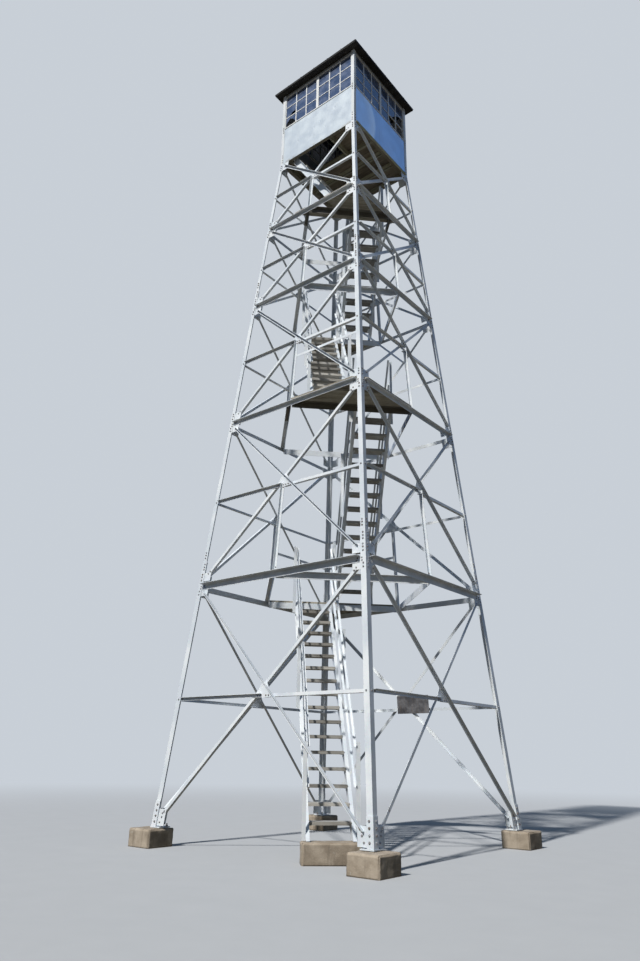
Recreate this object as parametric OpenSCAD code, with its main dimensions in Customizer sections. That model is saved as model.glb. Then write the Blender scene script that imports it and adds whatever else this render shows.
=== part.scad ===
// Fire lookout tower: four battered angle-iron legs, five braced panels,
// zigzag stairs between corner landings, and a square glazed cab.
// All sizes are millimetres. Z = 0 is the underside of the footings.

/* [Tower frame] */
// Width across the outer faces of the legs, at their feet
foot_w = 4438; // [4000:2:5000]
// Height of the first panel, from the leg feet to the first girts
panel_1_h = 4036; // [3600:2:4900]
// Height of the second panel
panel_2_h = 3310; // [2800:2:4000]
// Height of the third panel
panel_3_h = 2761; // [2300:1:3300]
// Height of the fourth panel
panel_4_h = 2046; // [1800:2:2600]
// Height of the fifth panel, up to the cab floor
panel_5_h = 1929; // [1700:1:2400]
// Width of each leg angle's flanges, below the first splice
leg_b = 102; // [90:1:115]
// How much narrower they are above each splice
leg_step = 13; // [8:1:16]
// Thickness of the leg angles
leg_t = 10; // [8:0.5:12]
// Flange width of the bracing angles
brace_b = 51; // [40:1:64]
// Thickness of the bracing angles
brace_t = 5; // [4:0.5:7]
// Flange width of the girts
girt_b = 70; // [60:1:85]
// Flange width of the deeper girts of the first level
deep_girt_b = 102; // [90:1:120]
// Thickness of the girts and of the gusset plates
plate_t = 6; // [5:0.5:8]
// Drop of the middle struts below the crossing of the diagonals
strut_drop = 175; // [150:1:200]
// The same drop in the three upper panels
top_strut_drop = 120; // [105:1:150]
// Depth of the plan ties
tie_h = 120; // [90:1:140]

/* [Footings] */
// Height of the concrete piers
pier_h = 300; // [200:5:400]
// Width of the concrete piers
pier_w = 530; // [450:5:620]

/* [Stairs] */
// Clear width of the treads
tread_w = 615; // [500:5:700]
// Depth of a tread, front to back
tread_d = 200; // [170:5:240]
// Thickness of a tread
tread_t = 50; // [38:1:60]
// Rise from tread to tread that the flights are divided to
tread_rise = 236; // [215:1:270]
// Depth of the stringer channels
stringer_h = 152; // [125:1:180]
// Flange width of the stringer channels
stringer_b = 55; // [40:1:65]
// Height of the handrails above the line of the treads
rail_h = 1250; // [1000:5:1300]
// Height of the middle rails above the same line
mid_rail_h = 700; // [500:5:800]
// Thickness of the deck planks
plank_t = 45; // [38:1:55]

// Foot of the first flight, measured forward from the tower's axis
foot_u = 2100; // [1950:10:2150]
// Run of the last, steeper flight
top_flight_run = 1300; // [1200:10:1350]
// Width of the last flight's treads
top_tread_w = 520; // [460:5:560]
// Rise from tread to tread that the last flight is divided to
top_tread_rise = 230; // [215:5:260]
// Height of the guard rails above the landings
guard_h = 1000; // [900:10:1150]
// Width of the handrail angles
rail_b = 38; // [32:1:45]

/* [Cab] */
// Width across the outer faces of the cab
cab_w = 2134; // [1900:2:2500]
// Height of the window sills above the underside of the walls
sill_h = 1071; // [950:1:1200]
// Height of the window openings
window_h = 960; // [800:5:1100]
// Thickness of the wall sheets
sheet_t = 3; // [2:0.5:5]
// Reach of the eaves past the walls
eave_reach = 150; // [100:5:220]
// Pitch of the roof in degrees
roof_pitch = 27; // [20:1:32]
// Depth of the floor joists
joist_h = 140; // [100:5:160]
// Width of the corner posts' flanges
post_b = 76; // [64:1:90]

/* [Hidden] */

// Heights above the leg feet, where the girts and the cab floor are
levels = [
    0,
    panel_1_h,
    panel_1_h + panel_2_h,
    panel_1_h + panel_2_h + panel_3_h,
    panel_1_h + panel_2_h + panel_3_h + panel_4_h,
    panel_1_h + panel_2_h + panel_3_h + panel_4_h + panel_5_h
];
PANELS = 5;
floor_z = levels[PANELS];
inset_top = (foot_w - cab_w) / 2;
batter = atan(inset_top / floor_z);
// Seating gap between pieces that lie on each other
fit = 0.3;
// Working gap between the ends of pieces that stop short of each other
clear = 8;
// Rise from the inner to the outer faces at the ends of the legs' lengths,
// which are cut square to the sides
end_rise = leg_t * sin(batter);
// Height of the leg splices above levels 1 and 3, and size of the angles
// inside them
joint_rise = 450;
splice_half = 200;
splice_t = 8;

// Shoe plates on the piers, and the angles that clasp the feet of the legs
shoe_t = 16;
shoe_w = 230;
shoe_lip = 20;
boot_t = 10;
boot_h = 390;

// Middle lines of the left and the right flights, across the stair line
left_v = -tread_w / 2 - 118;
right_v = tread_w / 2 + 105;
// How far a flight's foot stands in from the head of the flight before
foot_set = 110;
// Concrete pad under the first flight
pad_side = 130;
pad_d = 320;
// How much further in the top landing reaches than the others
top_landing_extra = 300;
// The top landing ends short of the last flight's well
well_x = 420;
well_gap = 20;
rail_t = 5;
rail_post_b = 60;
// Distance from a flight's head back to its last rail posts
head_set = 170;
rail_overhang = 30;

// Deck planks of the landings
plank_gap = 8;
plank_w = 182;
// How far the planks reach out over the girts, past the legs' outer faces
deck_out = 40;

// Bare board on the back side, on its lowest middle strut
board_x = -610;
board_w = 720;
board_h = 340;
board_drop = 70;
board_t = 3;

// Cab
joist_b = 45;
joist_count = 3;
floor_t = 25;
post_t = 8;
frame_b = 45;
frame_d = 40;
frame_lap = 60;
sill_show = 20;
mullion_b = 70;
glass_t = 4;
head_b = 90;
soffit_t = 30;
soffit_lip = 4;
roof_t = 12;
hip_w = 36;
hip_t = 3;
// Depths of the walls' layers behind the outer faces of the corner posts
sheet_in = post_t + fit;
frame_in = sheet_in + sheet_t + fit;
cab_half = cab_w / 2;
// Half of what lies inside the walls
room = cab_half - frame_in;
// The last flight rises beside the front side. Its opening in the cab floor
// is clear of the outer joist, and its stringers are clear of the girt.
hatch_half = top_tread_w / 2 + stringer_b + well_gap;
hatch_side = clear + max(joist_b + plate_t + fit, girt_b - well_gap);
well_y = hatch_half + hatch_side - room;

galvanised = "lightgray";
timber = "peru";
concrete = "darkgray";
white_paint = "whitesmoke";

// Half the width across the tower at a height above the leg feet
function half_at(z) = foot_w / 2 - inset_top * min(z, floor_z) / floor_z;
// Distance up a sloping side for a height above the leg feet
function up(z) = z / cos(batter);
// Height of the crossing of the diagonals in a panel
function crossing(i) = levels[i] + (levels[i + 1] - levels[i])
    * half_at(levels[i]) / (half_at(levels[i]) + half_at(levels[i + 1]));
// Height of the middle struts in a panel
function strut_z(i) = crossing(i) - (i < 2 ? strut_drop : top_strut_drop);
// Climb of a panel's diagonals for each unit across
function climb(i) = up(levels[i + 1] - levels[i]) / (half_at(levels[i]) + half_at(levels[i + 1]));
// Heights of the leg splices, and width of the legs' flanges at a height
function leg_joint(n) = levels[2 * n - 1] + joint_rise;
function leg_size(z) = leg_b - leg_step * (z < leg_joint(1) ? 0 : z < leg_joint(2) ? 1 : 2);
// Underside of a landing's planks, whose ends lie on the tilted shelves
// of the girts
function deck_z(i) = levels[i] + deck_out * sin(batter) + fit;

// Puts its children on one side of the tower: X across, Y up the slope,
// Z outward from the outer faces of the legs. Side 0 is the front.
module on_side(k) {
    rotate([0, 0, 90 * k])
        translate([0, -foot_w / 2, pier_h])
            rotate([90 - batter, 0, 0])
                children();
}

// Puts its children along the line of the stairs: X runs from the back
// corner to the front corner, Z is the height above the leg feet.
module on_stair_line() {
    translate([0, 0, pier_h])
        rotate([0, 0, -45])
            children();
}

// Angle iron along X, its heel on the X axis, flanges towards +Y and +Z
module angle_iron(length, b, t) {
    rotate([90, 0, 90])
        linear_extrude(length)
            polygon([[0, 0], [b, 0], [b, t], [t, t], [t, b], [0, b]]);
}

// Angle iron in a side's plane, from p to q. Its flat flange is centred on
// that line and lies on the plane z = face. It stands on the outside of that
// plane when out is 1 and on the inside when out is -1, as does its other
// flange, which is on the line's lower or right edge when edge is 1.
module brace(p, q, b, t, face, out, edge) {
    d = q - p;
    translate([p[0], p[1], face])
        rotate([0, 0, atan2(d[1], d[0])])
            mirror([0, 0, out > 0 ? 0 : 1])
                mirror([0, edge > 0 ? 0 : 1, 0])
                    translate([0, -b / 2, 0])
                        angle_iron(norm(d), b, t);
}

// Footings and shoes

module at_corners() {
    for (k = [0:3])
        rotate([0, 0, 90 * k])
            translate([foot_w / 2, -foot_w / 2, 0])
                children();
}

module footings() {
    pad_w = tread_w + 2 * pad_side;
    color(concrete) {
        at_corners()
            translate([-pier_w / 2, -pier_w / 2, 0])
                cube([pier_w, pier_w, pier_h - shoe_t]);
        rotate([0, 0, TO_FRONT])
            translate([foot_u - pad_d / 2, left_v - pad_w / 2, 0])
                cube([pad_d, pad_w, pier_h]);
    }
}

// One flange of the angle that clasps a leg's foot from outside
module boot_flange(hand) {
    mirror([hand > 0 ? 0 : 1, 0, 0])
        translate([0, 0, fit])
            linear_extrude(boot_t)
                polygon([
                    [half_at(0) + boot_t + fit, 0],
                    [half_at(boot_h) + boot_t + fit, up(boot_h)],
                    [half_at(boot_h) - leg_b, up(boot_h)],
                    [half_at(0) - leg_b, 0]
                ]);
}

module base_shoes() {
    color(galvanised) {
        at_corners()
            translate([shoe_lip - shoe_w, -shoe_lip, pier_h - shoe_t])
                cube([shoe_w, shoe_w, shoe_t]);
        for (k = [0:3]) {
            on_side(k) boot_flange(1);
            on_side(k + 1) boot_flange(-1);
        }
    }
}

// Legs

// One flange of a length of leg between two heights, lying in the plane of
// a side at its +X or -X edge
module leg_flange(hand, z0, z1) {
    b = leg_size(z0);
    mirror([hand > 0 ? 0 : 1, 0, 0])
        translate([0, 0, -leg_t])
            linear_extrude(leg_t)
                polygon([
                    [half_at(z0), up(z0)], [half_at(z1), up(z1)],
                    [half_at(z1) - b, up(z1)], [half_at(z0) - b, up(z0)]
                ]);
}

// One flange of the angle inside the heel of a leg at a splice
module splice_flange(hand, z) {
    low = z - splice_half;
    high = z + splice_half;
    heel = leg_t + 2 * fit;
    b = leg_size(high) - clear;
    mirror([hand > 0 ? 0 : 1, 0, 0])
        translate([0, 0, -leg_t - fit - splice_t])
            linear_extrude(splice_t)
                polygon([
                    [half_at(low) - heel, up(low)], [half_at(high) - heel, up(high)],
                    [half_at(high) - b, up(high)], [half_at(low) - b, up(low)]
                ]);
}

// The leg at the +X end of side k, in three lengths
module leg(k) {
    ends = [0, leg_joint(1), leg_joint(2), floor_z];
    color(galvanised) {
        for (n = [0:2]) {
            on_side(k) leg_flange(1, ends[n] + end_rise + fit, ends[n + 1]);
            on_side(k + 1) leg_flange(-1, ends[n] + end_rise + fit, ends[n + 1]);
        }
        for (n = [1:2]) {
            on_side(k) splice_flange(1, leg_joint(n));
            on_side(k + 1) splice_flange(-1, leg_joint(n));
        }
    }
}

// Bracing of the sides

outer_face = -leg_t;
inner_face = -leg_t - plate_t;
// Height between a level and the ends of the diagonals
node_gap = 160;
// Distance of a brace's end from the edge of a leg's flange
end_gap = 70;

// Distance across from the middle of a side to a diagonal's end
function end_at(z) = half_at(z) - leg_size(z) - end_gap;

// A diagonal of panel i. It rises towards +X and stands inward when hand
// is 1, and it rises towards -X and stands outward when hand is -1.
module diagonal(i, hand) {
    start = end_at(levels[i] + node_gap);
    end = end_at(levels[i + 1] - node_gap);
    p = [-start, up(crossing(i)) - climb(i) * start];
    q = [end, up(crossing(i)) + climb(i) * end];
    if (hand > 0)
        brace(p, q, brace_b, brace_t, inner_face, -1, 1);
    else
        mirror([1, 0, 0])
            brace(p, q, brace_b, brace_t, outer_face, 1, -1);
}

// Half of the middle strut of panel i, from the leg to the middle: on the
// inside towards +X, and on the outside, beside the hanger, towards -X
module strut(i, hand) {
    z = strut_z(i);
    if (hand > 0)
        brace([clear, up(z)], [half_at(z) - leg_t - 2 * clear, up(z)],
            brace_b, brace_t, inner_face, -1, 1);
    else
        mirror([1, 0, 0])
            brace([brace_b / 2 + clear, up(z)], [half_at(z) - leg_size(z) - clear, up(z)],
                brace_b, brace_t, outer_face, 1, -1);
}

// Hanger of panel i, from its crossing plate down to the girt. Its standing
// flange is on its +X edge when edge is 1.
module hanger(i, edge) {
    brace([0, up(levels[i]) + fit], [0, up(strut_z(i)) + brace_b / 2],
        brace_b, brace_t, outer_face, 1, edge);
}

module side_braces(k) {
    color(galvanised)
        on_side(k)
            for (i = [0:PANELS - 1]) {
                diagonal(i, 1);
                diagonal(i, -1);
                strut(i, 1);
                strut(i, -1);
                if (i > 0) hanger(i, k % 2 == 0 ? -1 : 1);
            }
}

// Gusset plates

// Reach of the crossing plates along the struts
crossing_reach = 150;
// Size of the leg plates: their reach past the leg, and where they start
// and end above and below a level
plate_reach = 165;
plate_start = 60;
plate_end = 215;
foot_plate_h = 270;
strut_plate = 60;

module crossing_plate(i) {
    top = up(crossing(i)) + 0.6 * brace_b;
    strut = up(strut_z(i));
    edge = 0.6 * brace_b;
    translate([0, 0, inner_face])
        linear_extrude(plate_t)
            polygon([
                [-brace_b, top], [brace_b, top],
                [crossing_reach, strut + edge], [crossing_reach, strut - edge],
                [-crossing_reach, strut - edge], [-crossing_reach, strut + edge]
            ]);
}

// Plate behind a leg's flange that carries the ends of the bracing
module leg_plate(z_low, z_high, reach, hand) {
    mirror([hand > 0 ? 0 : 1, 0, 0])
        translate([0, 0, inner_face])
            linear_extrude(plate_t)
                polygon([
                    [half_at(z_low) - leg_t - clear, up(z_low)],
                    [half_at(z_high) - leg_t - clear, up(z_high)],
                    [half_at(z_high) - leg_size(z_high) - reach, up(z_high)],
                    [half_at(z_low) - leg_size(z_low) - reach, up(z_low)]
                ]);
}

// The plates of panel i behind one leg: at its foot, its head and its strut.
// The ones at its foot start above the landing's planks.
module panel_plates(i, hand) {
    foot = i == 0 ? [shoe_t, foot_plate_h] : [plate_start, plate_end];
    leg_plate(levels[i] + foot[0], levels[i] + foot[1], plate_reach, hand);
    leg_plate(levels[i + 1] - plate_end, levels[i + 1] + end_rise, plate_reach, hand);
    leg_plate(strut_z(i) - brace_b / 2, strut_z(i) + brace_b / 2, hand > 0 ? 0 : strut_plate, hand);
}

module gusset_plates() {
    color(galvanised)
        for (k = [0:3])
            on_side(k)
                for (i = [0:PANELS - 1]) {
                    crossing_plate(i);
                    for (hand = [-1, 1])
                        panel_plates(i, hand);
                }
}

// Girts and ties

function girt_size(i) = i == 1 ? deep_girt_b : girt_b;

// Girt of one side, tilted with it: its flat flange on the leg plates,
// between the legs, and its shelf on top and pointing outward
module girt(i) {
    b = girt_size(i);
    half = half_at(levels[i]) - leg_size(levels[i]) - clear;
    translate([-half, up(levels[i]) - b, outer_face])
        cube([2 * half, b, plate_t]);
    translate([-half, up(levels[i]) - plate_t, outer_face])
        cube([2 * half, plate_t, b]);
}

// Girt inside the foot of a cab wall, its shelf at the bottom and pointing
// inward
module cab_girt() {
    half = room - girt_b - clear;
    translate([-half, frame_in, fit])
        cube([2 * half, plate_t, girt_b]);
    translate([-half, frame_in, fit])
        cube([2 * half, girt_b, plate_t]);
}

module girts(i) {
    color(galvanised)
        for (k = [0:3])
            if (i < PANELS)
                on_side(k) girt(i);
            else
                on_wall(k) cab_girt();
}

// Distance from the tower's axis to the girts' inner faces
function girt_in(i) = half_at(levels[i]) - leg_t / cos(batter) - fit;
// Distance of the plan ties from the tower's axis, by the middles of the sides
function tie_u(i) = girt_in(i) / sqrt(2) + clear;

// Level strip across a corner between two distances from the tower's axis,
// its ends cut along two sides that would meet at the distance reach
module strip(u0, u1, reach, z, t) {
    translate([0, 0, z])
        linear_extrude(t)
            polygon([
                [u0, -(reach - u0)], [u1, -(reach - u1)],
                [u1, reach - u1], [u0, reach - u0]
            ]);
}

// Tie between the middles of neighbouring girts: an angle with its shelf on
// top, level with the underside of the planks
module plan_tie(i) {
    reach = sqrt(2) * girt_in(i);
    top = deck_z(i) - fit;
    strip(tie_u(i), tie_u(i) + girt_b, reach, top - plate_t, plate_t);
    strip(tie_u(i), tie_u(i) + plate_t, reach, top - tie_h, tie_h);
}

module plan_ties() {
    color(galvanised)
        for (i = [1:4], k = [0:3])
            rotate([0, 0, 90 * k])
                on_stair_line()
                    plan_tie(i);
}

module blank_board() {
    color(galvanised)
        on_side(2)
            translate([board_x, up(strut_z(0)) - board_drop, inner_face - brace_b - board_t - fit])
                cube([board_w, board_h, board_t]);
}

// Landings

// Distance of a landing's open edge from the axis of the tower, where its
// corners are clear of the hangers
function landing_edge(i) = (half_at(levels[i]) + deck_out + brace_b / 2 + clear) / sqrt(2)
    - (i == 4 ? top_landing_extra : 0);

// Distance along the stair line where a landing's sides would meet
function deck_reach(i) = sqrt(2) * (half_at(levels[i]) + deck_out);
// Distance from there to the last plank, which is clear of the leg
function corner_cut(i) = sqrt(2) * deck_out + (leg_t + leg_size(levels[i])) / sqrt(2) + 2 * clear;
function deck_run(i) = deck_reach(i) - corner_cut(i) - landing_edge(i);
function planks(i) = floor(deck_run(i) / (plank_w + plank_gap));

// Planks of a triangular landing in one corner, counted from its open edge;
// corner is 1 at the front and -1 at the back
module landing(i, corner, first, last) {
    pitch = deck_run(i) / planks(i);
    on_stair_line()
        rotate([0, 0, corner > 0 ? 0 : 180])
            for (j = [first:last])
                strip(landing_edge(i) + j * pitch, landing_edge(i) + (j + 1) * pitch - plank_gap,
                    deck_reach(i), deck_z(i), plank_t);
}

module landing_deck(i, corner) {
    color(timber)
        landing(i, corner, 0, planks(i) - 1);
}

// The top landing's first plank runs from side to side. The rest stop short
// of what the last flight rises through, and are notched round the hangers.
module top_landing() {
    z = levels[4] - plank_t;
    color(timber) {
        landing(4, 1, 0, 0);
        difference() {
            landing(4, 1, 1, planks(4) - 1);
            translate([well_x - foot_w, -foot_w / 2, pier_h + z])
                cube([foot_w, foot_w, 3 * plank_t]);
            for (k = [0:1])
                rotate([0, 0, 90 * k])
                    translate([-brace_b / 2 - clear, -foot_w / 2, pier_h + z])
                        cube([
                            brace_b + 2 * clear,
                            foot_w / 2 - half_at(levels[4]) + leg_t + clear,
                            3 * plank_t
                        ]);
        }
    }
}

// Flat rail along one side of a landing, from the leg to the hanger
module guard_rail(i, k, hand) {
    y = up(levels[i] + guard_h);
    far = half_at(levels[i] + guard_h + brace_b) - leg_t - plate_t - clear;
    on_side(k)
        mirror([hand > 0 ? 0 : 1, 0, 0])
            translate([-brace_b / 2, y, outer_face - fit - rail_t])
                cube([far + brace_b / 2, brace_b, rail_t]);
}

module landing_rails() {
    color(galvanised) {
        guard_rail(1, 2, 1);
        guard_rail(1, 3, -1);
        guard_rail(2, 0, 1);
        guard_rail(2, 1, -1);
    }
}

// Stairs

// Point of the plan from its place along and across the stair line
function stair_point(u, v) = [(u + v) / sqrt(2), (v - u) / sqrt(2)];
function deck_top(i) = deck_z(i) + plank_t;
// Distance from the tower's axis to the head of the flight up to level i
function head_u(i) = i == 4 ? landing_edge(4) : tie_u(i);
// Heights above the feet: underside of the cab's joists, and top of its floor
joist_seat = floor_z + plate_t + 2 * fit;
cab_deck = joist_seat + joist_h + floor_t;

TO_FRONT = -45;
TO_BACK = 135;
TO_LEFT = 180;

// Each flight: its foot in plan, heading, run, foot height, head height,
// width of its treads and the rise that it is divided to
flights = [
    [stair_point(foot_u, left_v), TO_BACK, foot_u + head_u(1) - fit,
        0, deck_top(1), tread_w, tread_rise],
    [stair_point(-head_u(1) - foot_set, right_v), TO_FRONT,
        head_u(1) + foot_set + head_u(2) - fit,
        deck_top(1), deck_top(2), tread_w, tread_rise],
    [stair_point(head_u(2) + foot_set, left_v), TO_BACK,
        head_u(2) + foot_set + head_u(3) - fit,
        deck_top(2), deck_top(3), tread_w, tread_rise],
    [stair_point(-head_u(3) - foot_set, right_v), TO_FRONT,
        head_u(3) + foot_set + head_u(4) - fit,
        deck_top(3), deck_top(4), tread_w, tread_rise],
    [[well_x + foot_set, well_y], TO_LEFT, top_flight_run,
        deck_top(4), cab_deck, top_tread_w, top_tread_rise]
];

function rises(f) = round((f[4] - f[3]) / f[6]);
function tilt(f) = atan2(f[4] - f[3], f[2]);

// Puts its children at the foot of a flight: X forward, Y to its left
module on_flight(f) {
    translate([f[0][0], f[0][1], pier_h + f[3]])
        rotate([0, 0, f[1]])
            children();
}

module treads(n) {
    f = flights[n];
    count = rises(f);
    rise = (f[4] - f[3]) / count;
    go = f[2] / count;
    color(timber)
        on_flight(f)
            for (j = [1:count - 1])
                translate([j * go - tread_d / 2, -f[5] / 2, j * rise - tread_t])
                    cube([tread_d, f[5], tread_t]);
}

// Channel section along X, its web at Y = 0 and its flanges towards +Y
module channel(length, h, b, t) {
    rotate([90, 0, 90])
        linear_extrude(length)
            polygon([
                [0, 0], [b, 0], [b, t], [t, t],
                [t, h - t], [b, h - t], [b, h], [0, h]
            ]);
}

// Side channel of a flight, cut level at its foot and plumb at its head
module stringer(f, hand) {
    length = norm([f[2], f[4] - f[3]]) + 2 * stringer_h;
    on_flight(f)
        mirror([0, hand > 0 ? 0 : 1, 0])
            translate([0, f[5] / 2 + fit, 0])
                intersection() {
                    rotate([0, -tilt(f), 0])
                        translate([-stringer_h, 0, -stringer_h / 2 - tread_t / 2])
                            channel(length, stringer_h, stringer_b, plate_t);
                    translate([-2 * stringer_h, 0, fit])
                        cube([f[2] + 2 * stringer_h, stringer_b, f[4] - f[3] - fit]);
                }
}

module stringers() {
    color(galvanised)
        for (f = flights, hand = [-1, 1])
            stringer(f, hand);
}

// Outside of a flight's stringers, where its rail posts are
function post_y(f) = f[5] / 2 + stringer_b + 2 * fit;

// Distances of a flight's foot from the tower's axis, along and across the
// stair line
function foot_along(f) = abs(f[0][0] - f[0][1]) / sqrt(2);
function foot_across(f) = abs(f[0][0] + f[0][1]) / sqrt(2);
// Distance from the axis to the bracing of the sides at the foot's rail tops
function side_in(f) = half_at(f[3] + rail_h + 4 * rail_b) - leg_t - plate_t - brace_b - clear;
// Place of a flight's first rail posts along its run. Above a landing they
// stand clear of the sides, which lean in over them.
function first_post(f) = max(rail_post_b / 2 + fit, f[3] == 0 ? 0
    : foot_along(f) + foot_across(f) + post_y(f) + 2 * rail_post_b - sqrt(2) * side_in(f));
// Places of the posts: the first when part is 0, the last when part is 1
function post_x(f, part) = (1 - part) * first_post(f) + part * (f[2] - head_set);

// Rail of a flight at a height above its treads, on the inside of its posts
module handrail(f, hand, height) {
    first = post_x(f, 0) - rail_overhang;
    last = post_x(f, 1) + rail_overhang;
    on_flight(f)
        mirror([0, hand > 0 ? 0 : 1, 0])
            translate([first, post_y(f) - fit, height + first * tan(tilt(f))])
                rotate([0, -tilt(f), 0])
                    mirror([0, 1, 0])
                        angle_iron((last - first) / cos(tilt(f)), rail_b, rail_t);
}

module handrails() {
    color(galvanised)
        for (n = [0:3], hand = [-1, 1], height = [mid_rail_h, rail_h])
            handrail(flights[n], hand, height);
}

// Angle post outside the stringer, from there or from the floor up
module rail_post(f, hand, part) {
    x = post_x(f, part);
    z = x * tan(tilt(f));
    foot = max(z - stringer_h / 2, fit);
    on_flight(f)
        mirror([0, hand > 0 ? 0 : 1, 0])
            translate([x - rail_post_b / 2, post_y(f), foot])
                linear_extrude(z + rail_h + rail_b - foot)
                    polygon([
                        [0, 0], [rail_post_b, 0], [rail_post_b, rail_t],
                        [rail_t, rail_t], [rail_t, rail_post_b], [0, rail_post_b]
                    ]);
}

module rail_posts() {
    color(galvanised)
        for (n = [0:3], hand = [-1, 1], part = [0, 0.5, 1])
            rail_post(flights[n], hand, part);
}

// Cab

cab_z = pier_h + floor_z;
wall_h = sill_h + window_h + head_b;
joist_z = pier_h + joist_seat;
// Half of what lies inside the girts at the walls' feet
frame_room = room - plate_t - fit;
// Opening of the cab floor over the last flight
hatch_x = [well_x + foot_set - top_flight_run - fit, well_x - foot_set];
hatch_y = [well_y - hatch_half, well_y + hatch_half];

// Joist along X or header along Y, from one corner of its plan to the other
module floor_beam(x0, x1, y0, y1) {
    translate([x0, y0, joist_z])
        cube([x1 - x0, y1 - y0, joist_h]);
}

module floor_frame() {
    inside = frame_room - joist_b - fit;
    pitch = (inside - hatch_y[1]) / joist_count;
    color(timber) {
        floor_beam(-frame_room, joist_b - frame_room, -frame_room, frame_room);
        floor_beam(frame_room - joist_b, frame_room, -frame_room, frame_room);
        floor_beam(-inside, inside, -frame_room, -frame_room + joist_b);
        for (j = [0:joist_count])
            floor_beam(-inside, inside, hatch_y[1] + j * pitch, hatch_y[1] + j * pitch + joist_b);
        for (x = [hatch_x[0] - joist_b, hatch_x[1]])
            floor_beam(x, x + joist_b, -frame_room + joist_b + fit, hatch_y[1] - fit);
    }
}

module floor_deck() {
    color(timber)
        difference() {
            translate([-frame_room, -frame_room, joist_z + joist_h])
                cube([2 * frame_room, 2 * frame_room, floor_t]);
            translate([hatch_x[0], hatch_y[0], joist_z + joist_h - floor_t])
                cube([hatch_x[1] - hatch_x[0], hatch_y[1] - hatch_y[0], 3 * floor_t]);
        }
}

// Puts its children on one wall: X across, Y inward, Z up from its foot
module on_wall(k) {
    rotate([0, 0, 90 * k])
        translate([0, -cab_half, cab_z])
            children();
}

module wall(k) {
    half = cab_half - sheet_in - sheet_t - fit;
    color(white_paint)
        on_wall(k)
            translate([-half, sheet_in, fit])
                cube([2 * half, sheet_t, sill_h - sill_show - fit]);
}

module corner_posts() {
    color(white_paint)
        for (k = [0:3])
            rotate([0, 0, 90 * k])
                translate([cab_half, -cab_half, cab_z + fit])
                    rotate([0, 0, 90])
                        linear_extrude(wall_h - fit)
                            polygon([
                                [0, 0], [post_b, 0], [post_b, post_t],
                                [post_t, post_t], [post_t, post_b], [0, post_b]
                            ]);
}

// Half of a window frame's width, and the middle-to-jamb width of its panes
frame_half = room - frame_d - fit;
pane_w = frame_half - frame_b - mullion_b / 2;

// Puts its children at the lower left corner of each window of a wall
module on_windows(k) {
    on_wall(k)
        for (x = [-frame_half + frame_b, mullion_b / 2])
            translate([x, frame_in, sill_h])
                children();
}

module window_frames() {
    low = sill_h - frame_lap;
    color(white_paint)
        for (k = [0:3])
            difference() {
                on_wall(k)
                    translate([-frame_half, frame_in, low])
                        cube([2 * frame_half, frame_d, wall_h - low]);
                on_windows(k)
                    translate([0, -frame_d, 0])
                        cube([pane_w, 3 * frame_d, window_h]);
            }
}

module window_glass() {
    color("steelblue")
        for (k = [0:3])
            on_windows(k)
                translate([0, (frame_d - glass_t) / 2, 0])
                    cube([pane_w, glass_t, window_h]);
}

// Roof

eave_half = cab_half + eave_reach;
ring_z = cab_z + wall_h;
// Height of the slopes' lower edges, where they rest on the ring's edge
eave_z = ring_z + soffit_t + fit - soffit_lip * tan(roof_pitch);

// Flat ring under the eaves, on the heads of the walls
module roof_frame() {
    outer = eave_half - soffit_lip;
    inner = room - frame_d;
    color(timber)
        translate([0, 0, ring_z])
            difference() {
                translate([-outer, -outer, 0])
                    cube([2 * outer, 2 * outer, soffit_t]);
                translate([-inner, -inner, -soffit_t])
                    cube([2 * inner, 2 * inner, 3 * soffit_t]);
            }
}

// One slope: a flat triangular slab from the eave to the apex
module roof_slope() {
    half = eave_half - fit;
    translate([0, -eave_half, eave_z])
        rotate([roof_pitch, 0, 0])
            linear_extrude(roof_t)
                polygon([[-half, 0], [half, 0], [0, half / cos(roof_pitch)]]);
}

// Cap along one hip, on the upper edges of the two slopes that meet there
module hip_cap() {
    climb = atan(tan(roof_pitch) / sqrt(2));
    length = sqrt(2) * eave_half / cos(climb);
    lift = roof_t * norm([cos(roof_pitch), sin(roof_pitch) / sqrt(2)]);
    translate([eave_half, -eave_half, eave_z])
        rotate([0, 0, TO_BACK])
            rotate([0, -climb, 0])
                translate([hip_w, -hip_w / 2, lift + fit])
                    cube([length - 2 * hip_w, hip_w, hip_t]);
}

module roof() {
    color("darkslategray")
        for (k = [0:3])
            rotate([0, 0, 90 * k]) {
                roof_slope();
                hip_cap();
            }
}

footings();
base_shoes();
leg(0);  // leg_front
leg(1);  // leg_right
leg(2);  // leg_back
leg(3);  // leg_left
side_braces(0);  // front_braces
side_braces(1);  // right_braces
side_braces(2);  // back_braces
side_braces(3);  // left_braces
gusset_plates();
girts(1);  // girts_level_1
girts(2);  // girts_level_2
girts(3);  // girts_level_3
girts(4);  // girts_level_4
girts(5);  // girts_level_5
plan_ties();
blank_board();
landing_deck(1, -1);  // landing_1
landing_deck(2, 1);  // landing_2
landing_deck(3, -1);  // landing_3
top_landing();  // landing_4
stringers();
handrails();
rail_posts();
landing_rails();
treads(0);  // treads_flight_1
treads(1);  // treads_flight_2
treads(2);  // treads_flight_3
treads(3);  // treads_flight_4
treads(4);  // treads_flight_5
floor_frame();
floor_deck();
wall(0);  // front_wall
wall(1);  // right_wall
wall(2);  // back_wall
wall(3);  // left_wall
corner_posts();
window_frames();
window_glass();
roof_frame();
roof();
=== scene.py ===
"""Looks of the fire lookout tower: camera, materials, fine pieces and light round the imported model."""

import math
import random

import bmesh
import bpy
from mathutils import Matrix, Vector, noise


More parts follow.
